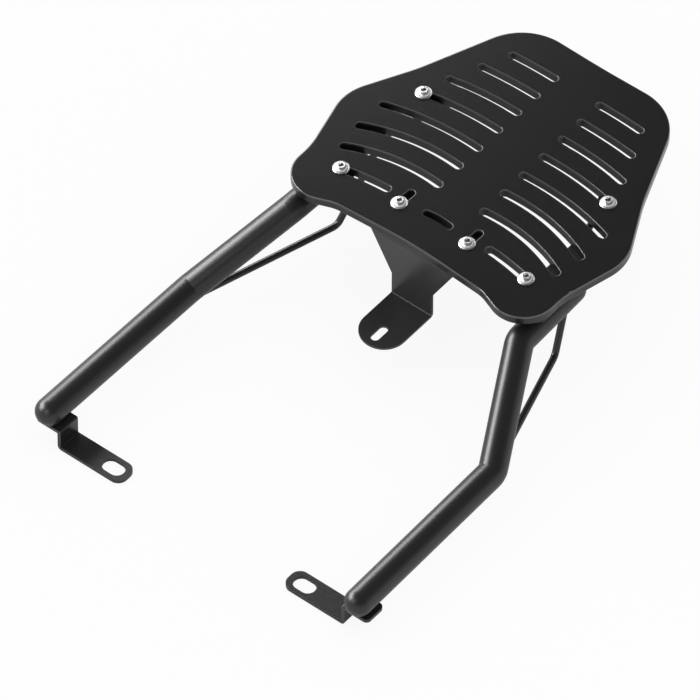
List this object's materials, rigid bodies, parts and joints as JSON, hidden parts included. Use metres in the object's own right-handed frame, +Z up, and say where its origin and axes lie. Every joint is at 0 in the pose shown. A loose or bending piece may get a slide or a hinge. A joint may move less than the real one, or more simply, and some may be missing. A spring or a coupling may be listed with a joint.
{
  "type": "motorcycle luggage rack",
  "caption": "Black luggage rack for the tail of a motorcycle: a flat plate with bowed strap slots on bent tube rails, braced by thin rods, with slotted feet to bolt it down.",
  "frame": {"origin": "midway between the slots of the two foot straps, on the underside of the straps", "axes": "+Z up, +Y to the rear of the vehicle, X = 0 is the plane of symmetry"},
  "size_m": [0.3144, 0.4787, 0.1127],
  "materials": {
    "coated_plate": "fine matte black coating",
    "coated_steel": "satin black coating",
    "bright_steel": "bright zinc-plated steel"
  },
  "bodies": {
    "root": {"top_plate": "coated_plate", "right_rail": "coated_steel", "left_rail": "coated_steel", "right_front_cap": "coated_steel", "left_front_cap": "coated_steel", "right_rear_cap": "coated_steel", "left_rear_cap": "coated_steel", "right_support": "coated_steel", "left_support": "coated_steel", "right_saddle": "coated_steel", "left_saddle": "coated_steel", "right_brace": "coated_steel", "left_brace": "coated_steel", "right_tab": "coated_steel", "left_tab": "coated_steel", "right_foot": "coated_steel", "left_foot": "coated_steel", "centre_bracket": "coated_steel", "plate_screws": "bright_steel", "plate_nuts": "bright_steel"}
  },
  "joints": []
}
